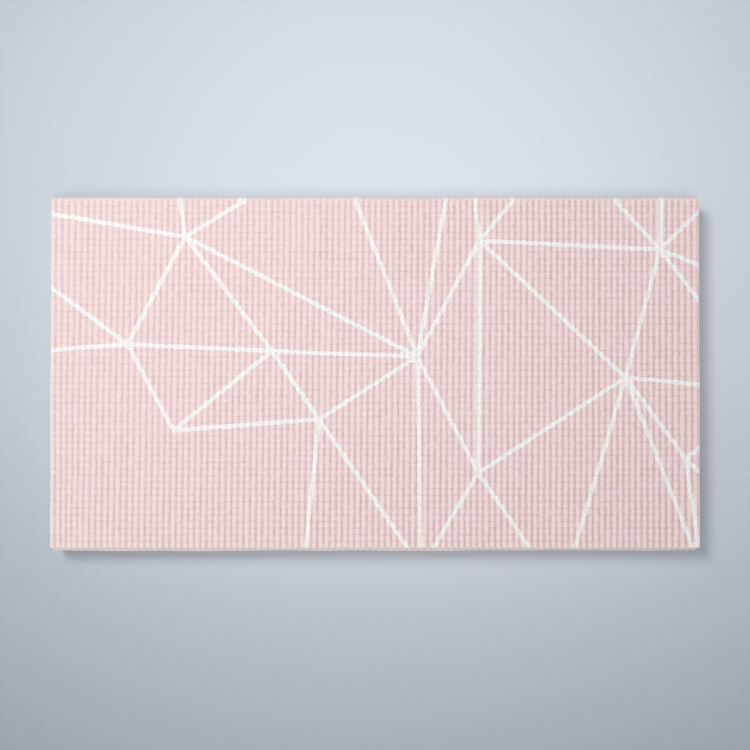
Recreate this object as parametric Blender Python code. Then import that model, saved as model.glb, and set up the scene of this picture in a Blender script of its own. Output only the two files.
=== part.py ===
"""Folding exercise mat: one printed PVC foam sheet, creased across into five panels.

Metres, +Z up. The mat is stored folded like a concertina, and lies on its underside. The
origin is at the middle of the underside. X runs along the creases. Y runs along the panels,
from the near creases to the far ones.

The sheet has three layers: a printed foam layer, a woven scrim and a plain foam layer. Panel 1
is on top, printed side up, and each next panel is turned over. Panel 3 is the one that the
others hang from.
"""

import math

import bmesh
import bpy
from mathutils import Vector

PANELS = 5
ROOT_PANEL = 3
WIDTH = 0.580  # along the creases
PANEL_LENGTH = 0.309  # from one crease line to the next
FOAM = 0.0030  # thickness of each of the two foam layers
SCRIM = 0.0004  # thickness of the woven layer between them
GAP = 0.0003  # between pieces that touch
BULGE = 0.0053  # how far a fold stands out past its crease line
CORNER_RADIUS = 0.003  # of the sheet's four cut corners, in plan
RIM_RADIUS = 0.0008  # where the outer faces meet the cut edges
CORNER_SEGMENTS = 5
RIM_SEGMENTS = 2
FOLD_SEGMENTS = 14  # round the outside of a fold

SHEET = 2 * FOAM + SCRIM + 2 * GAP  # the whole sheet's thickness
PITCH = SHEET + GAP  # from one panel's underside to the next
CREASE_Y = PANEL_LENGTH / 2  # crease lines are at plus and minus this
FOLD_SQUASH = (BULGE - GAP / 2) / (SHEET + GAP / 2)  # a fold is flatter than a half circle

# The outsides of the layers in a fold, measured from the middle of the gap between its panels.
INNER_FOAM_OUTSIDE = GAP / 2 + FOAM
SCRIM_INSIDE = INNER_FOAM_OUTSIDE + GAP
SCRIM_OUTSIDE = SCRIM_INSIDE + SCRIM
OUTER_FOAM_INSIDE = SCRIM_OUTSIDE + GAP
OUTER_FOAM_OUTSIDE = OUTER_FOAM_INSIDE + FOAM

# Surface colours and roughness of the three layers.
LOOKS = {
    "print_foam": ((0.80, 0.62, 0.61, 1), 0.65),
    "scrim": ((0.82, 0.80, 0.77, 1), 0.9),
    "back_foam": ((0.74, 0.55, 0.55, 1), 0.7),
}


def remove_scene_objects():
    for obj in list(bpy.data.objects):
        bpy.data.objects.remove(obj, do_unlink=True)


def make_material(name):
    colour, roughness = LOOKS[name]
    material = bpy.data.materials.new(name)
    material.use_nodes = True
    shader = material.node_tree.nodes["Principled BSDF"]
    shader.inputs["Base Color"].default_value = colour
    shader.inputs["Roughness"].default_value = roughness
    shader.inputs["Metallic"].default_value = 0
    return material


def print_side_up(panel):
    return panel % 2 == 1


def panel_bottom(panel):
    """Height of a panel's underside. Panel 1 is on top."""
    return (PANELS - panel) * PITCH


def crease_side(upper):
    """+1 where the crease under panel upper is on the far side, -1 where it is on the near side."""
    return 1 if upper % 2 == 1 else -1


def crease_point(upper):
    """The middle of the crease between panel upper and the panel under it, on its hinge line."""
    return Vector((0, crease_side(upper) * CREASE_Y, panel_bottom(upper) - GAP / 2))


def free_end(panel):
    """The end that is cut and joined to nothing, as +1 or -1 along Y, or 0 on the inner panels."""
    return {1: -1, PANELS: 1}.get(panel, 0)


def slab(thickness, cut_end, rim):
    """One layer of a panel, standing on z = 0 and centred in X and Y.

    cut_end is the end with round corners, and rim is the face with a rounded edge: +1 for the
    top, -1 for the bottom and 0 for neither. The ends at a crease stay square.
    """
    bm = bmesh.new()
    bmesh.ops.create_cube(bm, size=1)
    length = PANEL_LENGTH - GAP
    bmesh.ops.scale(bm, vec=(WIDTH, length, thickness), verts=bm.verts)
    bmesh.ops.translate(bm, vec=(0, 0, thickness / 2), verts=bm.verts)
    tiny = thickness / 100
    if cut_end:
        upright = [
            e
            for e in bm.edges
            if abs(e.verts[0].co.z - e.verts[1].co.z) > tiny and e.verts[0].co.y * cut_end > 0
        ]
        bmesh.ops.bevel(
            bm,
            geom=upright,
            offset=CORNER_RADIUS,
            segments=CORNER_SEGMENTS,
            profile=0.5,
            affect="EDGES",
        )
    if rim:
        level = thickness if rim > 0 else 0
        rims = [
            e
            for e in bm.edges
            if all(abs(v.co.z - level) < tiny for v in e.verts) and not on_crease_end(e, cut_end)
        ]
        bmesh.ops.bevel(
            bm,
            geom=rims,
            offset=RIM_RADIUS,
            segments=RIM_SEGMENTS,
            profile=0.5,
            affect="EDGES",
        )
    return bm


def on_crease_end(edge, cut_end):
    """Whether an edge of a slab runs along an end that is joined to a fold."""
    ends = [v.co.y for v in edge.verts]
    limit = (PANEL_LENGTH - GAP) / 2
    return any(
        all(abs(y - end * limit) < GAP / 10 for y in ends) for end in (-1, 1) if end != cut_end
    )


def fold(inside, outside, side):
    """One layer of a fold: a squashed half ring about X, or a half disc where inside is 0."""
    angles = [math.pi * (i / FOLD_SEGMENTS - 0.5) for i in range(FOLD_SEGMENTS + 1)]
    outline = [arc_point(outside, a, side) for a in angles]
    if inside:
        outline += [arc_point(inside, a, side) for a in reversed(angles)]
    bm = bmesh.new()
    face = bm.faces.new([bm.verts.new(p) for p in outline])
    grown = bmesh.ops.extrude_face_region(bm, geom=[face])["geom"]
    moved = [v for v in grown if isinstance(v, bmesh.types.BMVert)]
    bmesh.ops.translate(bm, vec=(WIDTH, 0, 0), verts=moved)
    bmesh.ops.recalc_face_normals(bm, faces=bm.faces)
    return bm


def arc_point(reach, angle, side):
    return (
        -WIDTH / 2,
        side * (GAP / 2 + FOLD_SQUASH * reach * math.cos(angle)),
        reach * math.sin(angle),
    )


def add_object(name, bm, material, holder, place):
    """An object at a world place, held by an empty that has no rotation."""
    mesh = bpy.data.meshes.new(name)
    bm.to_mesh(mesh)
    bm.free()
    mesh.shade_smooth()
    mesh.set_sharp_from_angle(angle=math.radians(35))
    mesh.materials.append(material)
    obj = bpy.data.objects.new(name, mesh)
    obj.parent = holder
    obj.location = Vector(place) - world_place(holder)
    bpy.context.scene.collection.objects.link(obj)


def world_place(empty):
    place = Vector(empty.location)
    while empty.parent:
        empty = empty.parent
        place += empty.location
    return place


def add_empty(name, place, holder=None):
    empty = bpy.data.objects.new(name, None)
    empty.empty_display_size = 0.03
    empty.parent = holder
    empty.location = Vector(place) - (world_place(holder) if holder else Vector())
    bpy.context.scene.collection.objects.link(empty)
    return empty


def make_holders():
    """An empty for each panel, on the crease that it turns about. The root's is at the origin."""
    holders = {ROOT_PANEL: add_empty("root_panel_frame", (0, 0, 0))}
    for panel in range(ROOT_PANEL - 1, 0, -1):
        name = f"crease_{panel}_{panel + 1}_line"
        holders[panel] = add_empty(name, crease_point(panel), holders[panel + 1])
    for panel in range(ROOT_PANEL + 1, PANELS + 1):
        name = f"crease_{panel - 1}_{panel}_line"
        holders[panel] = add_empty(name, crease_point(panel - 1), holders[panel - 1])
    return holders


def make_panel(panel, holder, materials):
    lower, upper = ("back_foam", "print_foam") if print_side_up(panel) else ("print_foam", "back_foam")
    bottom = panel_bottom(panel)
    end = free_end(panel)
    layers = (
        (lower, 0, FOAM, -1),
        ("scrim", FOAM + GAP, SCRIM, 0),
        (upper, SHEET - FOAM, FOAM, 1),
    )
    for layer, height, thickness, rim in layers:
        add_object(
            f"panel_{panel}_{layer}",
            slab(thickness, end, rim),
            materials[layer],
            holder,
            (0, 0, bottom + height),
        )


def make_fold(upper, holder, materials):
    """The three layers of the fold between panel upper and the one under it."""
    side = crease_side(upper)
    outer, inner = ("print_foam", "back_foam") if side > 0 else ("back_foam", "print_foam")
    layers = (
        (inner, 0, INNER_FOAM_OUTSIDE),
        ("scrim", SCRIM_INSIDE, SCRIM_OUTSIDE),
        (outer, OUTER_FOAM_INSIDE, OUTER_FOAM_OUTSIDE),
    )
    for layer, inside, outside in layers:
        add_object(
            f"crease_{upper}_{upper + 1}_{layer}",
            fold(inside, outside, side),
            materials[layer],
            holder,
            crease_point(upper),
        )


def main():
    remove_scene_objects()
    materials = {name: make_material(name) for name in LOOKS}
    holders = make_holders()
    for panel in range(1, PANELS + 1):
        make_panel(panel, holders[panel], materials)
    for upper in range(1, PANELS):
        nearer_root = upper + 1 if upper < ROOT_PANEL else upper
        make_fold(upper, holders[nearer_root], materials)


main()
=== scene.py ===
"""The looks of a folding exercise mat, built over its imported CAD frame.

Metres, +Z up, X along the creases. Each foam layer, fold and scrim of the frame is replaced by a
detailed piece: foam with a pressed-in rib pattern, ink lines printed on one side, bent skins at
the creases, and a ribbon-weave scrim between the foam layers.
"""

import math

import bpy
import numpy as np
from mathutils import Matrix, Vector


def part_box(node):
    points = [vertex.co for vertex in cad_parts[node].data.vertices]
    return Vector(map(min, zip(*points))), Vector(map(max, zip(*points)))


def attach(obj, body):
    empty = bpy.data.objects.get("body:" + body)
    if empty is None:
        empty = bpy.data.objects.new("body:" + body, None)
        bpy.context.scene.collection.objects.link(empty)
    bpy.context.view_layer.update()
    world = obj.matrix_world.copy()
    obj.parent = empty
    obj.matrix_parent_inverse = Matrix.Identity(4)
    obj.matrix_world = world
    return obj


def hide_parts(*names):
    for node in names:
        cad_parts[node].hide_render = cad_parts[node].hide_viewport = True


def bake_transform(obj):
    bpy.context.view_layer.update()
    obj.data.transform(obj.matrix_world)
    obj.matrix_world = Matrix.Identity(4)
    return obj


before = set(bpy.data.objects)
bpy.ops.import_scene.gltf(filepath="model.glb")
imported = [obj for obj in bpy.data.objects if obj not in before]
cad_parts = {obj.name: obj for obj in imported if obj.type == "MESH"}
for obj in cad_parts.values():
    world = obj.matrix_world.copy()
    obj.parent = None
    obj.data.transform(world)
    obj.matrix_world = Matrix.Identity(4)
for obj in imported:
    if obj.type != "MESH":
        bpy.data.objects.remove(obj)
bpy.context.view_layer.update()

PANELS = 5
LAYERS = ("print_foam", "scrim", "back_foam")


# ---------------------------------------------------------------- sizes, from the frame


def layer_box(panel, layer):
    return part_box(f"panel_{panel}_{layer}")


def panel_range(panel):
    """Lowest and highest Z of a panel."""
    boxes = [layer_box(panel, layer) for layer in LAYERS]
    return min(b[0].z for b in boxes), max(b[1].z for b in boxes)


HALF_WIDTH = layer_box(1, "scrim")[1].x
GAP = panel_range(PANELS - 1)[0] - panel_range(PANELS)[1]
CREASE_Y = layer_box(3, "scrim")[1].y + GAP / 2  # the hinge lines are at plus and minus this
LENGTH = 2 * CREASE_Y
SHEET = panel_range(PANELS)[1] - panel_range(PANELS)[0]
FOLD_HEIGHT = SHEET + GAP / 2  # from a hinge line up or down to the outside of its fold
FOLD_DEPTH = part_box("crease_1_2_print_foam")[1].y - CREASE_Y  # and out past it
MIDDLE = SHEET / 2  # from either face of the sheet to its scrim

# ---------------------------------------------------------------- the pressed pattern

COLUMNS = 106  # ribs across the width
COLUMN = 2 * HALF_WIDTH / COLUMNS
COLUMN_PHASE = 0.19  # how much of a cell is cut off along the left side
ROW = 0.005875  # pads along each rib
COLUMN_STOPS = (0, 0.17, 0.5, 0.83)  # where each cell's mesh lines fall, as shares of a cell
PRINT_ROW_STOPS = (0, 0.11, 0.5, 0.89)
PLAIN_ROW_STOPS = (0, 0.2, 0.8)
COLUMN_GROOVE = 0.18  # half width, as a share of a cell
ROW_GROOVE = 0.09
ROW_STRENGTH = 0.5  # how deep the cross grooves are beside the long ones
DEPTH = 0.00055
DEPTH_SPREAD = 0.22  # how much grooves differ in depth, as a share of it
CROWN = 0.00006  # how much pads differ in height
WOBBLE = 0.0002  # how far grooves stray sideways
WOBBLE_FADE = 0.004  # over this far from a joined end they straighten out
LEAN = 0.0098  # how much the ribs lean to the right along panel 1, at the middle of its width
LEAN_FANNING = 0.0235  # and how much less than that, for each metre to the right
LEAN_TURN = 0.22  # the lean swings back along the mat, as a wave of this length over 2 pi
LEAN_FADE = 0.035  # how far in from the cut sides it has grown to its full size
RIB_BOW = (0.0004, -0.002, -0.019)  # and a steady stray, as a polynomial of the place across

RIM = 0.0011  # how far in from a cut edge the rounding starts
RIM_DROP = 0.0008
RIM_STOPS = (0, 0.0002, 0.0006, 0.0011)  # and where its mesh lines fall
CUT_STOPS = (0.45, 1.0)  # and where those down a cut side fall, as shares of its height
TOO_CLOSE = 0.0001  # mesh lines aren't set closer together than this
CORNER = 0.0016  # radius of the sheet's corners
EDGE_WAVE = 0.00025  # how uneven the cut sides are
EDGE_WAVE_FADE = 0.012  # over this far from a joined end they straighten out

CREASE_DROP = 0.00018  # how far the faces sink along a crease line
CREASE_SHOULDER = 0.0008  # and how far from it that starts

FOLD_STEPS = 26  # mesh steps round a fold
CORE_COLUMNS = 60  # mesh lines across the inner foam of a fold
FOLD_WAVE = 0.0005  # how uneven the folds are along their length
FOLD_SLACK = {2: (0.0008, 0.0016)}  # how far a fold falls short at its left and right ends
FOLD_INSET = 0.00015  # folds are this much narrower at each end, so that they tuck in when opened
FOLD_WAIST = 0.0002  # and this much more at the middle of the fold
NEAR_SIDES, AT_SIDES = 5, 61  # powers that keep a change near the cut sides, or right at them
FOLD_BOX = 2.5  # how square a fold's section is: 2 is an ellipse
FOLD_PRESS = 0.75  # how much of the pattern the crease flattens
PRESS_FROM, PRESS_TO = 0.02, 0.15  # over this share of the way round a fold, from either end

# ---------------------------------------------------------------- the printed lines

INK_HALF = 0.0021  # half the width of a line
INK_SOFT = 0.00015  # its edge fades over this far to either side
INK_FAR = 0.02  # distances are only kept up to this

# The points where lines meet, in millimetres: across from the middle, and along the opened mat
# from the free end of panel 1.
POINTS = {
    # panel 1
    "a1": (-170, 278), "a2": (-221.2, 181.8), "a3": (-92, 175.6), "a4": (-50, 114.6),
    "a5": (-180, 104.8), "a6": (37.8, 170.8), "a7": (93.5, 274.5), "a8": (255, 266.6),
    "a9": (224, 152), "a10": (92, 66.8), "a11": (277.2, 79.6),
    # panel 2
    "b1": (-188, 405), "b2": (-37, 359), "b3": (80, 402), "b4": (167, 362), "b5": (259, 440),
    "b6": (-118, 474), "b7": (22, 503), "b8": (-238, 548), "b9": (152, 522), "b10": (-58, 572),
    "b11": (244, 566),
    # panel 3
    "c1": (-198, 672), "c2": (-84, 704), "c3": (46, 662), "c4": (146, 716), "c5": (238, 668),
    "c6": (-252, 770), "c7": (-26, 792), "c8": (92, 824), "c9": (222, 800), "c10": (-142, 862),
    "c11": (22, 898),
    # panel 4
    "d1": (-196, 968), "d2": (-62, 956), "d3": (74, 992), "d4": (204, 952), "d5": (-122, 1062),
    "d6": (14, 1084), "d7": (148, 1076), "d8": (252, 1052), "d9": (-228, 1136),
    "d10": (-64, 1176), "d11": (106, 1192),
    # panel 5
    "e1": (-184, 1262), "e2": (-22, 1270), "e3": (196, 1266), "e4": (-96, 1338),
    "e5": (60, 1352), "e6": (-236, 1386), "e7": (168, 1388), "e8": (262, 1352),
    "e9": (-34, 1442), "e10": (112, 1466), "e11": (-158, 1470),
}  # fmt: skip

# Lines between those points.
LINKS = (
    "a1-a2 a1-a3 a1-a6 a2-a3 a3-a6 a2-a5 a3-a5 a3-a4 a5-a4 a4-a6 a6-a7 a6-a10 a7-a10 a7-a8 a7-a9 "
    "a8-a9 a9-a10 a9-a11 a1-b1 a1-b2 a6-b2 a6-b3 a7-b3 a7-b4 a8-b4 a8-b5 "
    "b1-b2 b1-b6 b1-b8 b2-b3 b2-b6 b3-b4 b3-b7 b4-b5 b4-b9 b5-b9 b6-b7 b6-b8 b6-b10 b7-b9 b7-b10 "
    "b9-b11 b5-b11 b8-c1 b10-c1 b10-c2 b10-c3 b7-c3 b9-c4 b11-c5 b11-c4 "
    "c1-c2 c1-c6 c2-c3 c2-c6 c2-c7 c3-c4 c3-c7 c4-c5 c4-c8 c4-c9 c5-c9 c6-c10 c7-c8 c7-c10 c8-c9 "
    "c8-c11 c10-c11 c10-d1 c6-d1 c10-d2 c11-d2 c11-d3 c8-d4 c9-d4 "
    "d1-d2 d1-d5 d1-d9 d2-d3 d2-d5 d3-d4 d3-d6 d4-d7 d4-d8 d5-d6 d5-d9 d6-d7 d6-d10 d7-d8 d7-d11 "
    "d9-d10 d10-d11 d9-e1 d10-e1 d10-e2 d11-e2 d11-e3 d8-e3 "
    "e1-e2 e1-e4 e1-e6 e2-e4 e2-e5 e2-e3 e3-e5 e3-e7 e3-e8 e4-e5 e4-e6 e4-e9 e5-e7 e5-e10 e7-e8 "
    "e9-e10 e9-e11 e6-e11 e4-e11 e7-e10"
)

# Lines from a point to the sheet's outer edges.
RAYS = (
    ("a1", -290, 298.5), ("a2", -290, 232.5), ("a2", -290, 176.5), ("a8", 290, 300.5),
    ("a8", 290, 252.5), ("a8", 290, 220.5), ("a9", 290, 145.5), ("a11", 290, 89.5),
    ("a11", 290, 67.5), ("a4", -62, 0), ("a4", 29, 0), ("a6", 41, 0), ("a10", 52, 0),
    ("a10", 138, 0), ("a9", 178, 0), ("a9", 283.8, 0), ("a11", 289, 0),
    ("b1", -290, 372), ("b1", -290, 446), ("b5", 290, 398), ("b5", 290, 476),
    ("b8", -290, 520), ("b11", 290, 610), ("c1", -290, 640), ("c6", -290, 742),
    ("c5", 290, 652), ("c9", 290, 770), ("c9", 290, 858), ("c6", -290, 848),
    ("d1", -290, 990), ("d4", 290, 918), ("d8", 290, 1016), ("d8", 290, 1100),
    ("d9", -290, 1096), ("d9", -290, 1190), ("e1", -290, 1238), ("e6", -290, 1350),
    ("e6", -290, 1430), ("e8", 290, 1316), ("e8", 290, 1394), ("e11", -232, 1545),
    ("e11", -120, 1545), ("e9", -10, 1545), ("e10", 74, 1545), ("e10", 190, 1545),
    ("e7", 290, 1490),
)  # fmt: skip


def segments():
    """Every printed line as a pair of points in metres."""
    found = []
    for link in LINKS.split():
        a, b = link.split("-")
        found.append((POINTS[a], POINTS[b]))
    for name, x, v in RAYS:
        found.append((POINTS[name], (x, v)))
    return [(np.array(a) / 1000, np.array(b) / 1000) for a, b in found]


def ink_distance(x, v):
    """Distance in metres from each place on the printed side to the nearest line's middle."""
    nearest = np.full(x.shape, INK_FAR)
    for a, b in segments():
        if min(a[1], b[1]) > v.max() + INK_FAR or max(a[1], b[1]) < v.min() - INK_FAR:
            continue
        along = b - a
        share = ((x - a[0]) * along[0] + (v - a[1]) * along[1]) / (along @ along)
        share = np.clip(share, 0, 1)
        away = np.hypot(x - a[0] - share * along[0], v - a[1] - share * along[1])
        nearest = np.minimum(nearest, away)
    return nearest


# ---------------------------------------------------------------- small maths


def smoothstep(t):
    t = np.clip(t, 0, 1)
    return t * t * (3 - 2 * t)


def slow_noise(t, seed, octaves=4):
    """A smooth wandering line between about -1 and 1 along t, which is in metres."""
    rng = np.random.default_rng(seed)
    total = np.zeros(np.shape(t))
    for i in range(octaves):
        waves = 5 * 1.9**i * rng.uniform(0.8, 1.2)
        total += np.sin(2 * math.pi * (waves * t + rng.uniform())) / 1.6**i
    return total / 1.8


def stops(low, high, pitch, shares, phase=0.0):
    """Mesh line positions between low and high: the ends, and each cell's lines between them."""
    first, last = math.floor(low / pitch), math.ceil(high / pitch)
    inner = [(i + s - phase) * pitch for i in range(first, last + 2) for s in shares]
    margin = pitch * 0.03
    return [low] + [p for p in inner if low + margin < p < high - margin] + [high]


def column_lines():
    """Mesh lines across the width, closer together along the cut sides."""
    inner = stops(0, 2 * HALF_WIDTH, COLUMN, COLUMN_STOPS, COLUMN_PHASE)
    return with_rim([x - HALF_WIDTH for x in inner], True, True)


def with_rim(positions, at_low, at_high):
    """The same with closer lines along the cut ends, where the surface rounds over."""
    low, high = positions[0], positions[-1]
    added = [low + s for s in RIM_STOPS] if at_low else []
    added += [high - s for s in RIM_STOPS] if at_high else []
    kept = [
        p
        for p in positions
        if not (at_low and p < low + RIM * 1.2) and not (at_high and p > high - RIM * 1.2)
    ]
    return np.array(sorted(kept + added))


def groove(position, pitch, half_width):
    """1 at the bottom of a groove and 0 on the pads, for grooves at whole pitches."""
    share = position / pitch
    return np.exp(-(((share - np.round(share)) / half_width) ** 2))


# ---------------------------------------------------------------- meshes


class Shell:
    """Collects vertices, faces and per-vertex values, and turns them into one mesh object."""

    def __init__(self):
        self.verts = []
        self.count = 0
        self.loops = []
        self.sizes = []
        self.slots = []
        self.values = {}

    def add_verts(self, points, **values):
        points = np.asarray(points, float).reshape(-1, 3)
        first = self.count
        self.verts.append(points)
        self.count += len(points)
        for name, value in values.items():
            self.values.setdefault(name, []).append((first, np.asarray(value, float)))
        return first

    def add_faces(self, faces, slot=0):
        faces = np.asarray(faces)
        self.loops.append(faces.ravel())
        self.sizes.append(np.full(len(faces), faces.shape[1]))
        self.slots.append(np.full(len(faces), slot))

    def add_grid(self, points, slot=0, flip=False, **values):
        """A grid of quads over points[row][column]; flip turns its faces over."""
        rows, columns = points.shape[:2]
        first = self.add_verts(points, **values)
        index = first + np.arange(rows * columns).reshape(rows, columns)
        a, b = index[:-1, :-1], index[:-1, 1:]
        c, d = index[1:, 1:], index[1:, :-1]
        order = (a, d, c, b) if flip else (a, b, c, d)
        self.add_faces(np.stack([o.ravel() for o in order], axis=1), slot)
        return index

    def build(self, name, materials, turn=None, move=(0, 0, 0)):
        verts = np.concatenate(self.verts)
        if turn is not None:
            verts = verts * np.array(turn)
        verts = verts + np.array(move)
        mesh = bpy.data.meshes.new(name)
        loops = np.concatenate(self.loops).astype(np.int32)
        sizes = np.concatenate(self.sizes)
        mesh.vertices.add(len(verts))
        mesh.vertices.foreach_set("co", verts.astype(np.float32).ravel())
        mesh.loops.add(len(loops))
        mesh.loops.foreach_set("vertex_index", loops)
        mesh.polygons.add(len(sizes))
        starts = np.concatenate([[0], np.cumsum(sizes)[:-1]]).astype(np.int32)
        mesh.polygons.foreach_set("loop_start", starts)
        mesh.polygons.foreach_set("loop_total", sizes.astype(np.int32))
        mesh.polygons.foreach_set("material_index", np.concatenate(self.slots).astype(np.int32))
        mesh.update(calc_edges=True)
        mesh.validate()
        mesh.shade_smooth()
        for key, parts in self.values.items():
            self.write_values(mesh, key, parts)
        for material in materials:
            mesh.materials.append(material)
        obj = bpy.data.objects.new(name, mesh)
        bpy.context.scene.collection.objects.link(obj)
        return obj

    def write_values(self, mesh, key, parts):
        width = 3 if parts[0][1].ndim > 1 and parts[0][1].shape[-1] == 3 else 1
        data = np.zeros((self.count, width), np.float32)
        for first, value in parts:
            value = value.reshape(-1, width)
            data[first : first + len(value)] = value
        kind = "FLOAT_VECTOR" if width == 3 else "FLOAT"
        attribute = mesh.attributes.new(key, kind, "POINT")
        attribute.data.foreach_set("vector" if width == 3 else "value", data.ravel())


def border(index):
    """The outline of a grid's vertex numbers, in order, starting along its first row."""
    return np.concatenate([index[0, :-1], index[:-1, -1], index[-1, :0:-1], index[:0:-1, 0]])


# ---------------------------------------------------------------- the opened sheet


def cut_end(panel):
    """The end of a panel that is cut and joined to nothing, as -1 or +1 along Y, or else 0."""
    return {1: -1, PANELS: 1}.get(panel, 0)


def panel_end(cut):
    """How far a panel reaches along Y: a joined end stops half a gap short of its crease line."""
    return CREASE_Y if cut else CREASE_Y - GAP / 2


def fold_side(upper):
    """+1 where the fold under a panel is on the far side, or -1 where it is on the near side."""
    return 1 if upper % 2 == 1 else -1


def fold_middle(upper):
    """The middle of the fold under a panel, on its hinge line."""
    return Vector((0, fold_side(upper) * CREASE_Y, panel_range(upper)[0] - GAP / 2))


def fold_layers(upper):
    """The outer and the inner foam layer of the fold under a panel."""
    return ("print_foam", "back_foam") if fold_side(upper) > 0 else ("back_foam", "print_foam")


def crease_sink(distance):
    """How far a face sinks at a distance from a crease line."""
    return CREASE_DROP * np.clip(1 - distance / CREASE_SHOULDER, 0, 1)


def side_wave(panel, y):
    """How far the cut sides of a panel stand out at y, the same for all its layers."""
    along = (panel - 0.5) * LENGTH + (y if panel % 2 else -y)
    fade = np.ones_like(y)
    for end in (-1, 1):
        if end != cut_end(panel):
            fade = fade * smoothstep((CREASE_Y - end * y) / EDGE_WAVE_FADE)
    return EDGE_WAVE * slow_noise(along, 99) * fade


# ---------------------------------------------------------------- foam panels


def cell_values(x, v, size, seed):
    """A random value of the given size for each pad of the pattern, at places x, v."""
    column = np.floor(x / COLUMN + COLUMNS + COLUMN_PHASE).astype(int)
    row = np.floor(v / ROW).astype(int)
    rng = np.random.default_rng(seed)
    table = rng.uniform(-size, size, (row.max() - row.min() + 1, 2 * COLUMNS + 2))
    return table[row - row.min(), np.clip(column, 0, 2 * COLUMNS + 1)]


def emboss(x, v):
    """How deep in the pressed pattern each place is, from 0 on the pads to 1 in the grooves."""
    long_way = groove(x + HALF_WIDTH + COLUMN_PHASE * COLUMN, COLUMN, COLUMN_GROOVE)
    across = groove(v, ROW, ROW_GROOVE) * ROW_STRENGTH
    both = 1 - (1 - long_way) * (1 - across)
    return both + 0.25 * long_way * across


def lean(x, v):
    """How far the ribs stray from straight: they lean and bow a little, and wander back."""
    sideways = (LEAN - LEAN_FANNING * x) * LEAN_TURN * np.sin((v - LENGTH / 2) / LEAN_TURN)
    bow = RIB_BOW[0] + RIB_BOW[1] * x + RIB_BOW[2] * x**2
    return (sideways + bow) * smoothstep((HALF_WIDTH - np.abs(x)) / LEAN_FADE)


def edge_distance(x, y, ends):
    """Distance in from the cut edges. ends are the cut ends of the panel, as -1 or +1."""
    distance = HALF_WIDTH - np.abs(x)
    for end in ends:
        inner_x = np.abs(x) - (HALF_WIDTH - CORNER)
        inner_y = end * y - (CREASE_Y - CORNER)
        distance = np.minimum(distance, CREASE_Y - end * y)
        corner = (inner_x > 0) & (inner_y > 0)
        round_it = CORNER - np.hypot(inner_x, inner_y)
        distance = np.where(corner, np.minimum(distance, round_it), distance)
    return np.maximum(distance, 0)


def round_corners(x, y, ends):
    """Pulls a square-cornered grid in to round corners at the cut ends."""
    x, y = x.copy(), y.copy()
    for end in ends:
        a = (np.abs(x) - (HALF_WIDTH - CORNER)) / CORNER
        b = (end * y - (CREASE_Y - CORNER)) / CORNER
        corner = (a > 0) & (b > 0)
        in_x = a * np.sqrt(1 - np.clip(b, 0, 1) ** 2 / 2)
        in_y = b * np.sqrt(1 - np.clip(a, 0, 1) ** 2 / 2)
        new_x = (HALF_WIDTH - CORNER + CORNER * in_x) * np.sign(x)
        new_y = end * (CREASE_Y - CORNER + CORNER * in_y)
        x, y = np.where(corner, new_x, x), np.where(corner, new_y, y)
    return x, y


def sheet_place(x, v):
    """Where a place is on the opened sheet, counted from the pattern's own corner."""
    return np.stack([x + HALF_WIDTH + COLUMN_PHASE * COLUMN, v, np.zeros_like(x)], axis=-1)


def row_lines(start, onward, ends, joined):
    """Mesh lines along a panel, closer together at its cut ends, and one by each crease."""
    row_stops = PRINT_ROW_STOPS if onward > 0 else PLAIN_ROW_STOPS
    vs = np.array(stops(start, start + LENGTH, ROW, row_stops))
    ys = np.sort(onward * (vs - start - CREASE_Y))
    ys = with_rim(list(ys), -1 in ends, 1 in ends)
    ys = np.clip(ys, -panel_end(-1 in ends), panel_end(1 in ends))
    shoulders = [end * (CREASE_Y - CREASE_SHOULDER) for end in joined]
    return np.sort(np.append(ys, [s for s in shoulders if np.abs(ys - s).min() > TOO_CLOSE]))


def close_below(shell, top, points):
    """Adds a panel's cut sides under the outline of its top grid, down to z = 0, and its bottom."""
    outline = border(top)
    flat = points.reshape(-1, 3)
    wall = [flat[outline]]
    for share in CUT_STOPS:
        lower = flat[outline].copy()
        lower[:, 2] *= 1 - share
        wall.append(lower)
    wall = np.stack(wall)
    wall = np.concatenate([wall, wall[:, :1]], axis=1)
    side = shell.add_grid(wall, 1, True)
    bottom = side[-1, :-1][::-1]
    shell.add_faces(bottom[None, :], 1)


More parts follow.
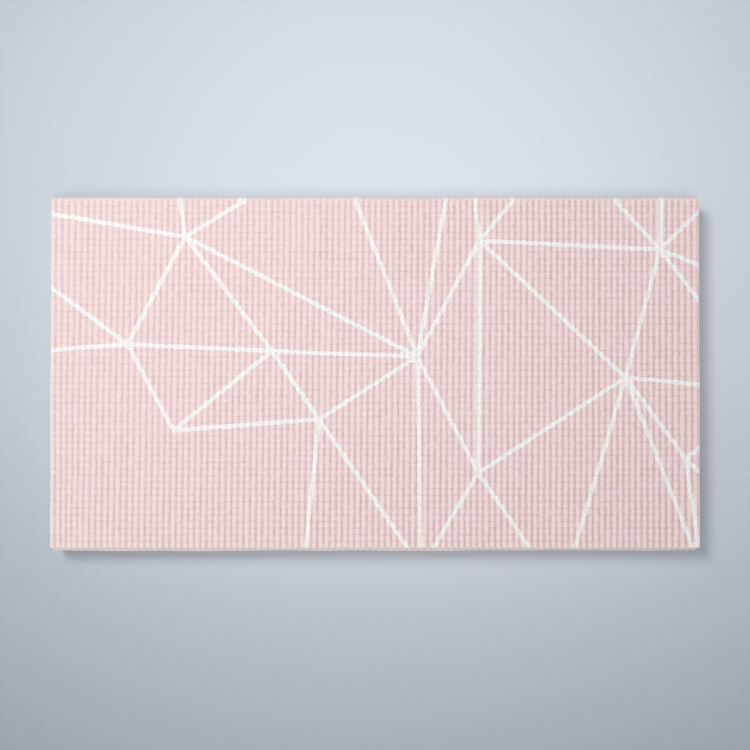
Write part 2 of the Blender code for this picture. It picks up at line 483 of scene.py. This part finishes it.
def foam_panel(panel, layer):
    """One foam layer of a panel: its embossed face up, and its scrim side at z = 0.

    It is made face up and then turned over where that face is the panel's underside. Along the
    opened mat, places are measured from the free end of panel 1.
    """
    printed = layer == "print_foam"
    side_up = 1 if (panel % 2 == 1) == printed else -1
    ends = [cut_end(panel) * side_up] if cut_end(panel) else []
    joined = [end for end in (-1, 1) if end not in ends]
    start = (panel - 1) * LENGTH
    onward = 1 if printed else -1  # which way along Y the opened mat runs, as the layer is made
    x, y = np.meshgrid(column_lines(), row_lines(start, onward, ends, joined))
    v = start + CREASE_Y + onward * y

    seed = 10 * panel + printed
    depth = emboss(x, v)
    lift = cell_values(x, v, CROWN, seed) * (1 - np.clip(depth, 0, 1))
    deeper = 1 + cell_values(x + COLUMN / 2, v, DEPTH_SPREAD, seed + 1)
    leaned = x + lean(x, v)
    px, py = round_corners(leaned, y, ends)
    inward = edge_distance(px, py, ends)
    rim = np.clip(1 - inward / RIM, 0, 1)
    drop = RIM_DROP * (1 - np.sqrt(1 - rim**2))
    pressed = DEPTH * depth * deeper * smoothstep(inward / (1.4 * RIM))
    sink = sum(crease_sink(CREASE_Y - end * y) for end in joined)
    height = MIDDLE - pressed - drop - sink + lift * smoothstep(inward / RIM)

    sway = WOBBLE * smoothstep(inward / (3 * RIM))
    sway = sway * smoothstep((CREASE_Y - np.abs(y)) / WOBBLE_FADE)
    shift = slow_noise(v, seed + 2, 7) * 0.5 + cell_values(x + COLUMN / 2, v, 0.5, seed + 3)
    px = px + sway * shift
    py = py + sway * (slow_noise(x, seed + 4, 7) * 0.5 + cell_values(x, v + ROW / 2, 0.5, seed + 5))
    px = px + side_wave(panel, side_up * y) * (x / HALF_WIDTH) ** NEAR_SIDES

    points = np.stack([px, py, height], axis=-1)
    values = {"sheet": sheet_place(x, v), "kept": np.ones_like(x), "rim": rim}
    if printed:
        values["ink"] = ink_distance(leaned, v)
    shell = Shell()
    close_below(shell, shell.add_grid(points, 0, False, **values), points)

    low, high = panel_range(panel)
    turn = (1, side_up, side_up)
    name = f"foam_{'printed' if printed else 'plain'}_{panel}"
    surface = PRINTED if printed else PLAIN
    obj = shell.build(name, [surface, CUT_EDGE], turn, (0, 0, (low + high) / 2))
    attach(obj, f"panel_{panel}")
    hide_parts(f"panel_{panel}_{layer}")


# ---------------------------------------------------------------- folds


def bend(obj):
    """Bakes a fold's piece's placement into its mesh; the piece is already built bent.

    The panels are named in the order that makes the second one turn about +X as the mat opens,
    because a half turn alone doesn't say which way it went.
    """
    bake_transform(obj)


def fold_arc(reach, steps, tail=0.0):
    """Points of a fold's half ring from its upper end to its lower end, for that half height.

    Gives the share of the way round, y, z and the outward normal's y and z. The ring is flatter
    and squarer than a half circle. tail is how far both ends run on straight into the panels.
    """
    angle = math.pi * (0.5 - np.linspace(0, 1, steps + 1))
    out = FOLD_DEPTH * reach / FOLD_HEIGHT
    across, up = np.abs(np.cos(angle)), np.abs(np.sin(angle))
    across[[0, -1]] = 0
    y = out * across ** (2 / FOLD_BOX)
    z = reach * up ** (2 / FOLD_BOX) * np.sign(angle)
    t = np.concatenate([[0], np.cumsum(np.hypot(np.diff(y), np.diff(z)))])
    ny = across ** (2 - 2 / FOLD_BOX) / out
    nz = up ** (2 - 2 / FOLD_BOX) / reach * np.sign(angle)
    size = np.hypot(ny, nz)
    parts = [t / t[-1], y, z, ny / size, nz / size]
    if tail:
        parts = [np.pad(part, 1, mode="edge") for part in parts]
        parts[1][[0, -1]] = -tail
    return parts


def arc_length(reach, tail=0.0):
    _, y, z, _, _ = fold_arc(reach, 200, tail)
    return float(np.hypot(np.diff(y), np.diff(z)).sum())


def fold_skin(upper):
    """The outer foam of a fold: a pressed skin that wraps round from panel to panel."""
    side, layer = fold_side(upper), fold_layers(upper)[0]
    t, y, z, ny, nz = fold_arc(FOLD_HEIGHT, FOLD_STEPS, GAP / 2)
    length = arc_length(FOLD_HEIGHT)
    xs = np.sort(side * column_lines())
    x, row = np.meshgrid(xs, np.arange(len(t)))
    across = side * x  # along the stack's own X, before the fold is turned
    crease = np.full(x.shape, upper * LENGTH)
    leaned = across + lean(across, crease)
    share = t[row]
    from_end = 0.5 - np.abs(share - 0.5)
    kept = 1 - FOLD_PRESS * smoothstep((from_end - PRESS_FROM) / (PRESS_TO - PRESS_FROM))
    v = upper * LENGTH + length * share
    depth = emboss(across, v) * kept
    inward = HALF_WIDTH - np.abs(x)
    rim = np.clip(1 - inward / RIM, 0, 1)
    drop = RIM_DROP * (1 - np.sqrt(1 - rim**2))
    bow = np.sin(math.pi * share)
    slack = np.interp(across, (-HALF_WIDTH, HALF_WIDTH), FOLD_SLACK.get(upper, (0, 0)))
    wave = bow * (FOLD_WAVE * slow_noise(x, 200 + upper) - slack)
    drop = drop + crease_sink(from_end * length)
    deep = wave - drop - DEPTH * depth * smoothstep(inward / (1.4 * RIM))
    tuck = (FOLD_INSET + FOLD_WAIST * bow) * (x / HALF_WIDTH) ** AT_SIDES
    px = side * leaned - tuck
    outer = np.stack([px, y[row] + ny[row] * deep, z[row] + nz[row] * deep], axis=-1)

    _, iy, iz, _, _ = fold_arc(FOLD_HEIGHT / 2, FOLD_STEPS, GAP / 2)
    inner = np.stack([px, iy[row], iz[row]], axis=-1)
    values = {"sheet": sheet_place(across, v), "kept": kept, "rim": rim}
    if layer == "print_foam":
        values["ink"] = ink_distance(leaned, crease)
    shell = Shell()
    shell.add_grid(outer, 0, True, **values)
    shell.add_grid(inner[:, [0, -1]], 1, False)
    for column, flip in ((0, True), (-1, False)):
        shell.add_grid(np.stack([inner[:, column], outer[:, column]], axis=1), 1, flip)
    for line, flip in ((0, False), (-1, True)):
        shell.add_grid(np.stack([inner[line], outer[line]]), 1, flip)
    finish_fold(shell, upper, layer, "skin")


def fold_core(upper):
    """The inner foam of a fold, pinched to a half round where the panels' faces meet."""
    reach = FOLD_HEIGHT / 2
    t, y, z, _, _ = fold_arc(reach, FOLD_STEPS // 2)
    xs = np.linspace(-1, 1, CORE_COLUMNS) * (HALF_WIDTH - FOLD_INSET)
    x, row = np.meshgrid(xs, np.arange(len(t)))
    outer = np.stack([x, y[row] - GAP / 2, z[row]], axis=-1)
    flat = np.stack([x, np.full(x.shape, -GAP / 2), z[row]], axis=-1)
    plain = {"sheet": sheet_place(x, z[row]), "ink": np.full(x.shape, INK_FAR)}
    shell = Shell()
    shell.add_grid(outer, 0, True, **plain)
    shell.add_grid(flat, 0, False, **plain)
    for column, flip in ((0, True), (-1, False)):
        shell.add_grid(np.stack([flat[1:-1, column], outer[1:-1, column]], axis=1), 1, flip)
        for end in (0, -1):
            corner = outer[[end], column]
            inner_row = 1 if end == 0 else -2
            points = np.stack([corner[0], flat[inner_row, column], outer[inner_row, column]])
            first = shell.add_verts(points)
            order = [0, 1, 2] if (end == 0) != flip else [2, 1, 0]
            shell.add_faces(np.array([order]) + first, 1)
    finish_fold(shell, upper, fold_layers(upper)[1], "core")


def place_fold(shell, name, upper, materials):
    """Builds a fold's piece in its place; near folds are turned half round about Z."""
    side = fold_side(upper)
    obj = shell.build(f"{name}_{upper}_{upper + 1}", materials, (side, side, 1), fold_middle(upper))
    bend(obj)
    return obj


def finish_fold(shell, upper, layer, part):
    """Places a foam piece of a fold, and hides the part of the frame it stands for."""
    surface = PRINTED if layer == "print_foam" else PLAIN
    obj = place_fold(shell, f"fold_{part}", upper, [surface, CUT_EDGE])
    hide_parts(f"crease_{upper}_{upper + 1}_{layer}")


# ---------------------------------------------------------------- scrim

YARN = 0.0021  # width of the scrim's flat yarns
YARN_THICK = 0.00026
YARN_PROUD = 0.0002  # how far yarn ends stand out of a cut edge
WEFT_THICK = 0.8 * YARN_THICK  # the yarns across the mat are thinner
SCRIM_TAIL = 0.0004  # how far a fold's scrim runs on into each panel
SCRIM_STEPS = 10  # bends in a yarn that goes round a fold
SCRIM_WEFTS = (4, 8)  # the bends at which a yarn lies across it


def ribbon(shell, path, width, thick, normals):
    """A flat yarn along path, as a closed box section. width is a vector across it."""
    path, normals = np.array(path), np.array(normals)
    half = np.array(width) / 2
    lift = normals * thick / 2
    ring = np.stack([path - half - lift, path + half - lift, path + half + lift, path - half + lift])
    ring = ring.transpose(1, 0, 2)
    count = len(path)
    first = shell.add_verts(ring)
    index = first + np.arange(count * 4).reshape(count, 4)
    for i in range(4):
        j = (i + 1) % 4
        faces = np.stack([index[:-1, i], index[:-1, j], index[1:, j], index[1:, i]], axis=1)
        shell.add_faces(faces)
    shell.add_faces(index[0][::-1][None, :])
    shell.add_faces(index[-1][None, :])


def panel_scrim(panel):
    """The woven reinforcement of a panel: flat yarns both ways, one at each groove."""
    low, high = panel_range(panel)
    shell = Shell()
    near = -CREASE_Y - YARN_PROUD if cut_end(panel) < 0 else -panel_end(False)
    far = CREASE_Y + YARN_PROUD if cut_end(panel) > 0 else panel_end(False)
    up = ((0, 0, 1), (0, 0, 1))
    for i in range(COLUMNS):
        x = (i + 0.5) * COLUMN - HALF_WIDTH
        ribbon(shell, ((x, near, 0), (x, far, 0)), (YARN, 0, 0), YARN_THICK, up)
    for i in range(int(LENGTH / ROW)):
        y = (i + 0.5) * ROW - CREASE_Y
        reach = HALF_WIDTH + YARN_PROUD + float(side_wave(panel, np.array(y)))
        ribbon(shell, ((reach, y, 0), (-reach, y, 0)), (0, YARN, 0), WEFT_THICK, up)
    obj = shell.build(f"scrim_{panel}", [SCRIM], None, (0, 0, (low + high) / 2))
    obj.data.shade_flat()
    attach(obj, f"panel_{panel}")
    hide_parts(f"panel_{panel}_scrim")


def fold_scrim(upper):
    """The scrim where it turns round a fold."""
    reach = FOLD_HEIGHT / 2
    _, y, z, ny, nz = fold_arc(reach, SCRIM_STEPS, SCRIM_TAIL)
    shell = Shell()
    for i in range(COLUMNS):
        x = (i + 0.5) * COLUMN - HALF_WIDTH
        path = np.stack([np.full(len(y), x), y, z], axis=1)
        normals = np.stack([np.zeros(len(y)), ny, nz], axis=1)
        ribbon(shell, path, (YARN, 0, 0), YARN_THICK, normals)
    for i in SCRIM_WEFTS:
        ends = [(s * (HALF_WIDTH - FOLD_INSET / 2), y[i], z[i]) for s in (1, -1)]
        across = np.array([0, -nz[i], ny[i]]) * YARN
        normals = [(0, ny[i], nz[i])] * 2
        ribbon(shell, ends, across, WEFT_THICK, normals)
    obj = place_fold(shell, "fold_scrim", upper, [SCRIM])
    obj.data.shade_flat()
    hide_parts(f"crease_{upper}_{upper + 1}_scrim")
    arc_length(reach, SCRIM_TAIL)


# ---------------------------------------------------------------- materials


class Graph:
    """Short ways to add and link shader nodes of one material."""

    def __init__(self, name):
        self.material = bpy.data.materials.new(name)
        self.material.use_nodes = True
        self.nodes = self.material.node_tree.nodes
        self.links = self.material.node_tree.links
        self.shader = self.nodes["Principled BSDF"]

    def wire(self, value, socket):
        if isinstance(value, bpy.types.NodeSocket):
            self.links.new(value, socket)
        else:
            socket.default_value = value

    def math(self, operation, a, b=0.0, c=0.0, clamp=False):
        node = self.nodes.new("ShaderNodeMath")
        node.operation = operation
        node.use_clamp = clamp
        for value, socket in zip((a, b, c), node.inputs):
            self.wire(value, socket)
        return node.outputs[0]

    def mix(self, factor, a, b):
        node = self.nodes.new("ShaderNodeMix")
        node.data_type = "RGBA"
        self.wire(factor, node.inputs[0])
        self.wire(a, node.inputs[6])
        self.wire(b, node.inputs[7])
        return node.outputs[2]

    def ramp(self, value, low, high, start=0.0, end=1.0):
        """Value remapped from low..high to start..end, clamped and smooth."""
        node = self.nodes.new("ShaderNodeMapRange")
        node.interpolation_type = "SMOOTHSTEP"
        for given, socket in zip((value, low, high, start, end), node.inputs):
            self.wire(given, socket)
        return node.outputs[0]

    def attribute(self, name, vector=False):
        node = self.nodes.new("ShaderNodeAttribute")
        node.attribute_name = name
        return node.outputs["Vector" if vector else "Fac"]

    def noise(self, vector, scale, detail=3.0, rough=0.55):
        node = self.nodes.new("ShaderNodeTexNoise")
        self.wire(vector, node.inputs["Vector"])
        node.inputs["Scale"].default_value = scale
        node.inputs["Detail"].default_value = detail
        node.inputs["Roughness"].default_value = rough
        return node.outputs["Fac"]

    def scale(self, vector, factors):
        node = self.nodes.new("ShaderNodeVectorMath")
        node.operation = "MULTIPLY"
        self.wire(vector, node.inputs[0])
        node.inputs[1].default_value = factors
        return node.outputs[0]

    def shifted(self, vector, offset):
        node = self.nodes.new("ShaderNodeVectorMath")
        self.wire(vector, node.inputs[0])
        node.inputs[1].default_value = offset
        return node.outputs[0]

    def cell(self, vector):
        """A random value for each whole cell of a vector."""
        floor = self.nodes.new("ShaderNodeVectorMath")
        floor.operation = "FLOOR"
        self.wire(vector, floor.inputs[0])
        node = self.nodes.new("ShaderNodeTexWhiteNoise")
        node.noise_dimensions = "3D"
        self.wire(floor.outputs[0], node.inputs["Vector"])
        return node.outputs["Value"]

    def bump(self, height, strength, distance):
        node = self.nodes.new("ShaderNodeBump")
        node.inputs["Strength"].default_value = strength
        node.inputs["Distance"].default_value = distance
        self.wire(height, node.inputs["Height"])
        return node.outputs[0]

    def object_place(self):
        return self.nodes.new("ShaderNodeTexCoord").outputs["Object"]

    def finish(self, colour, roughness, normal=None):
        self.wire(colour, self.shader.inputs["Base Color"])
        self.wire(roughness, self.shader.inputs["Roughness"])
        if normal:
            self.wire(normal, self.shader.inputs["Normal"])
        self.shader.inputs["Specular IOR Level"].default_value = 0.3
        return self.material


# Linear colours. Each foam face has two tints that mix, a pale one for painted glints, and the
# painted shade of its grooves.
PINK = (0.80, 0.637, 0.66, 1)
PINK_BEIGE = (0.80, 0.66, 0.63, 1)
PINK_PAINTED_GLINT = (0.88, 0.765, 0.772, 1)
PINK_GROOVE_SHADE = (0.61, 0.428, 0.438, 1)
INK = (0.90, 0.876, 0.881, 1)
INK_SHADE_AND_MOTTLE = (0.715, 0.712, 0.70, 1)
PLAIN_PINK = (0.80, 0.63, 0.63, 1)
PLAIN_BEIGE = (0.80, 0.655, 0.61, 1)
PLAIN_PAINTED_GLINT = (0.87, 0.75, 0.74, 1)
PLAIN_GROOVE_SHADE = (0.60, 0.42, 0.42, 1)
STRETCHED_AND_PAINTED_LIGHT = (0.92, 0.83, 0.80, 1)  # where a fold or a cut rim has pulled the skin thin, and on the plain skin's folds also painted light
FOAM_INSIDE = (0.87, 0.74, 0.71, 1)
FOAM_CELL_SHADE = (0.72, 0.53, 0.51, 1)
YARN_SHADE, YARN_WHITE = (0.70, 0.68, 0.64, 1), (0.88, 0.87, 0.84, 1)


# Painted shade in the grooves. Axis, pitch, half width as a share of the pitch, and the weakest
# shade: long grooves, then cross.
SHADED_LINES = ((0, COLUMN, 0.20, 0.62), (1, ROW, 0.085, 0.1))


def painted_groove_shade(g, sheet, kept):
    """The painted shade in the long grooves and in the cross grooves, each from 0 to 1.

    It is stronger towards the right and towards the free end of panel 1.
    """
    axes = g.nodes.new("ShaderNodeSeparateXYZ")
    g.wire(sheet, axes.inputs[0])
    drift = g.math("MULTIPLY_ADD", g.noise(sheet, 240.0, 2.0), 0.30, -0.15)
    # how strong the painted groove shade is: it varies slowly, and grows towards the right and
    # towards the free end of panel 1
    groove_shade_strength = g.math("MULTIPLY_ADD", g.noise(sheet, 5.0, 2.0), 0.4, 0.55)
    start = g.math("EXPONENT", g.math("MULTIPLY", axes.outputs[1], -8.0))
    groove_shade_strength = g.math("MULTIPLY_ADD", start, 0.35, groove_shade_strength)
    groove_shade_strength = g.math("MULTIPLY_ADD", axes.outputs[0], 0.75, groove_shade_strength)
    kept = g.math("MULTIPLY", kept, groove_shade_strength)
    lines = []
    for place, pitch, half, weakest in SHADED_LINES:
        cells = g.math("MULTIPLY_ADD", axes.outputs[place], 1 / pitch, drift)
        away = g.math("PINGPONG", cells, 0.5)
        hollow = g.math("EXPONENT", g.math("MULTIPLY", g.math("MULTIPLY", away, away), -1 / half**2))
        offset = (0.5, 0, 0) if place == 0 else (0, 0.5, 7)
        pads = g.shifted(g.scale(sheet, (1 / COLUMN, 1 / ROW, 1)), offset)
        uneven = g.math("MULTIPLY_ADD", g.cell(pads), 1 - weakest, weakest)
        lines.append(g.math("MULTIPLY", g.math("MULTIPLY", hollow, uneven), kept))
    return lines


def foam_surface(name, base, beige, pale, deep, printed):
    """Pressed PVC foam: pads that differ a little in tint, painted glints, painted shade in the
    grooves and fine pores.
    """
    g = Graph(name)
    sheet = g.attribute("sheet", vector=True)
    kept = g.attribute("kept")
    along, across = painted_groove_shade(g, sheet, kept)
    tint = g.cell(g.scale(sheet, (1 / COLUMN, 1 / ROW, 1)))
    patch = g.noise(sheet, 28.0, 3.0)
    fleck = g.noise(sheet, 400.0, 3.0)
    mixed = g.math("MULTIPLY_ADD", tint, 0.25, g.math("MULTIPLY", patch, 0.25))
    mixed = g.math("MULTIPLY_ADD", fleck, 0.5, mixed)
    colour = g.mix(g.ramp(mixed, 0.36, 0.64), base, beige)
    grain = g.noise(sheet, 900.0, 2.0)
    # painted glints: pale specks on the pads that stand in for highlights; the same noise also
    # mottles the ink
    painted_glint_and_ink_mottle = g.noise(g.shifted(sheet, (3, 1, 0)), 520.0, 3.0, 0.65)
    colour = g.mix(g.ramp(painted_glint_and_ink_mottle, 0.5, 0.68, 0.0, 0.75), colour, pale)
    paling_and_painted_light = 0.2 if printed else 0.75  # on a fold the skin pales where stretched; the plain skin pales more, partly its own paler tone and partly painted light on its folds
    colour = g.mix(g.math("MULTIPLY_ADD", kept, -paling_and_painted_light, paling_and_painted_light), colour, STRETCHED_AND_PAINTED_LIGHT)
    both = g.math("MULTIPLY_ADD", g.math("MULTIPLY", along, across), 0.5, along)
    shade = g.math("MULTIPLY_ADD", across, 0.46, both)
    shade = g.math("MULTIPLY", shade, g.math("MULTIPLY_ADD", grain, 0.6, 0.62), clamp=True)
    # painted shade: deep is the colour the grooves are darkened towards
    colour = g.mix(shade, colour, deep)
    roughness = g.ramp(grain, 0.2, 0.8, 0.58, 0.74)
    pores = g.noise(sheet, 2600.0, 2.0, 0.6)
    height = g.math("MULTIPLY_ADD", grain, 0.6, pores)
    if printed:
        ragged = g.math("MULTIPLY_ADD", g.noise(sheet, 420.0, 2.0), 0.0012, -0.0006)
        ragged = g.math("MULTIPLY_ADD", shade, 0.0005, ragged)
        away = g.math("ADD", g.attribute("ink"), ragged)
        cover = g.ramp(away, INK_HALF + INK_SOFT, INK_HALF - INK_SOFT)
        mottle = g.ramp(painted_glint_and_ink_mottle, 0.38, 0.58, 0.8, 0.0)
        # the ink is darkened towards grey with the painted groove shade, and at random in a mottle
        film = g.mix(g.math("MULTIPLY_ADD", shade, 0.75, mottle, clamp=True), INK, INK_SHADE_AND_MOTTLE)
        worn = g.ramp(g.noise(sheet, 640.0, 3.0, 0.7), 0.24, 0.38, 0.35, 1.0)
        colour = g.mix(g.math("MULTIPLY", cover, worn), colour, film)
        roughness = g.math("MULTIPLY_ADD", cover, -0.12, roughness)
        height = g.math("MULTIPLY_ADD", cover, 0.35, height)
    bare = g.ramp(g.math("MULTIPLY_ADD", grain, 0.3, g.attribute("rim")), 0.2, 0.55, 0.0, 0.55)
    colour = g.mix(bare, colour, STRETCHED_AND_PAINTED_LIGHT)
    return g.finish(colour, roughness, g.bump(height, 0.35, 0.00008))


def cut_foam(name):
    """The foam where the sheet was cut: pale, with open cells darkened by painted shade in their
    hollows.
    """
    g = Graph(name)
    place = g.object_place()
    cells = g.nodes.new("ShaderNodeTexVoronoi")
    g.wire(place, cells.inputs["Vector"])
    cells.inputs["Scale"].default_value = 1700.0
    size = cells.outputs["Distance"]
    patch = g.noise(place, 260.0, 4.0)
    # painted shade in the open cells' hollows, with random patches
    cell_shade = g.ramp(g.math("MULTIPLY_ADD", patch, 0.5, size), 0.75, 0.25)
    colour = g.mix(cell_shade, FOAM_INSIDE, FOAM_CELL_SHADE)
    return g.finish(colour, 0.85, g.bump(size, 0.5, 0.0002))


def scrim_cloth(name):
    """Off-white polyester yarn, with filaments along it."""
    g = Graph(name)
    strands = g.noise(g.scale(g.object_place(), (1, 1, 4)), 3000.0, 2.0)
    colour = g.mix(strands, YARN_SHADE, YARN_WHITE)
    return g.finish(colour, 0.9)


PRINTED = foam_surface("printed_foam_face", PINK, PINK_BEIGE, PINK_PAINTED_GLINT, PINK_GROOVE_SHADE, True)
PLAIN = foam_surface("plain_foam_face", PLAIN_PINK, PLAIN_BEIGE, PLAIN_PAINTED_GLINT, PLAIN_GROOVE_SHADE, False)
CUT_EDGE = cut_foam("cut_foam_edge")
SCRIM = scrim_cloth("scrim_yarn")

# ---------------------------------------------------------------- the mat

for number in range(1, PANELS + 1):
    foam_panel(number, "print_foam")
    foam_panel(number, "back_foam")
    panel_scrim(number)
for number in range(1, PANELS):
    fold_skin(number)
    fold_core(number)
    fold_scrim(number)

# ---------------------------------------------------------------- stage

FLOOR_HALF = 4.0
FLOOR_BELOW = 0.0001  # the floor is this far under the mat, so that their faces don't coincide
# The floor's pale tone is painted light and its grey tone is painted shade, laid out round the mat.
FLOOR_PAINTED_LIGHT, FLOOR_PAINTED_SHADE = (0.665, 0.728, 0.788, 1), (0.18, 0.213, 0.254, 1)
FLOOR_FAR = (0.50, 0.55, 0.60, 1)
PAINTED_LIGHT_X, PAINTED_LIGHT_Y = 0.095, 0.168  # where the painted pool of light on the floor is brightest, behind the mat
PAINTED_LIGHT_FALL_X, PAINTED_LIGHT_FALL_Y = -2.07, -3.23  # how fast the painted light turns to painted shade from there, each way
PAINTED_LIGHT_ENDS, FLOOR_EVEN = 0.49, 1.1  # between these distances the floor turns one even tone
LENS = 52.66
SENSOR = 36
CAMERA_ANGLE = math.radians(89.3)  # above the floor: the photo looks almost straight down
CAMERA_DISTANCE = 0.98


def floor_material():
    """Blue-grey paper with a painted pool of light, palest behind the mat, and painted shade greyer
    round it; one even tone far out.
    """
    g = Graph("studio_floor")
    place = g.nodes.new("ShaderNodeSeparateXYZ")
    g.wire(g.object_place(), place.inputs[0])
    x = g.math("SUBTRACT", place.outputs[0], PAINTED_LIGHT_X)
    y = g.math("SUBTRACT", place.outputs[1], PAINTED_LIGHT_Y)
    fall = g.math("MULTIPLY", g.math("MULTIPLY", y, y), PAINTED_LIGHT_FALL_Y)
    fall = g.math("MULTIPLY_ADD", g.math("MULTIPLY", x, x), PAINTED_LIGHT_FALL_X, fall)
    # painted light and shade: the floor's colour fades from the painted light to the painted shade
    colour = g.mix(g.math("EXPONENT", fall), FLOOR_PAINTED_SHADE, FLOOR_PAINTED_LIGHT)
    middle = g.nodes.new("ShaderNodeVectorMath")
    middle.operation = "LENGTH"
    g.wire(g.object_place(), middle.inputs[0])
    far_out = g.ramp(middle.outputs["Value"], PAINTED_LIGHT_ENDS, FLOOR_EVEN)
    return g.finish(g.mix(far_out, colour, FLOOR_FAR), 0.9)


def make_floor():
    mesh = bpy.data.meshes.new("floor")
    h = FLOOR_HALF
    mesh.from_pydata([(-h, -h, 0), (h, -h, 0), (h, h, 0), (-h, h, 0)], [], [(0, 1, 2, 3)])
    mesh.materials.append(floor_material())
    floor = bpy.data.objects.new("floor", mesh)
    floor.location.z = -FLOOR_BELOW
    bpy.context.scene.collection.objects.link(floor)


def area_light(name, place, size, power, colour, spread=180):
    """A round light that faces the mat. A narrow spread, in degrees, lights little round it."""
    data = bpy.data.lights.new(name, "AREA")
    data.spread = math.radians(spread)
    data.shape = "DISK"
    data.size = size
    data.energy = power
    data.color = colour
    light = bpy.data.objects.new(name, data)
    light.location = place
    light.rotation_euler = (-Vector(place)).to_track_quat("-Z", "Y").to_euler()
    light.visible_camera = False
    bpy.context.scene.collection.objects.link(light)


def make_world(colour, strength):
    world = bpy.data.worlds.new("studio")
    world.use_nodes = True
    background = world.node_tree.nodes["Background"]
    background.inputs[0].default_value = colour
    background.inputs[1].default_value = strength
    bpy.context.scene.world = world


def make_camera():
    data = bpy.data.cameras.new("camera")
    data.sensor_width = SENSOR
    data.lens = LENS
    data.clip_start, data.clip_end = 0.05, 50
    camera = bpy.data.objects.new("camera", data)
    aim = Vector((0, -0.0003, panel_range(1)[1]))
    back = Vector((0, -math.cos(CAMERA_ANGLE), math.sin(CAMERA_ANGLE)))
    camera.location = aim + back * CAMERA_DISTANCE
    camera.rotation_euler = (-back).to_track_quat("-Z", "Y").to_euler()
    bpy.context.scene.collection.objects.link(camera)
    bpy.context.scene.camera = camera


make_floor()
make_world((0.97, 0.98, 1.0, 1), 0.40)
area_light("key", (-0.5, 0.5, 1.45), 0.5, 13, (1, 0.98, 0.95))
area_light("front", (0.05, -0.5, 2.2), 1.0, 11.2, (1, 0.99, 0.97))
area_light("low_fill", (-1.0, -1.8, 0.3), 0.5, 0.5, (1, 0.98, 0.96), spread=36)
make_camera()
bpy.context.scene.view_settings.view_transform = "Standard"
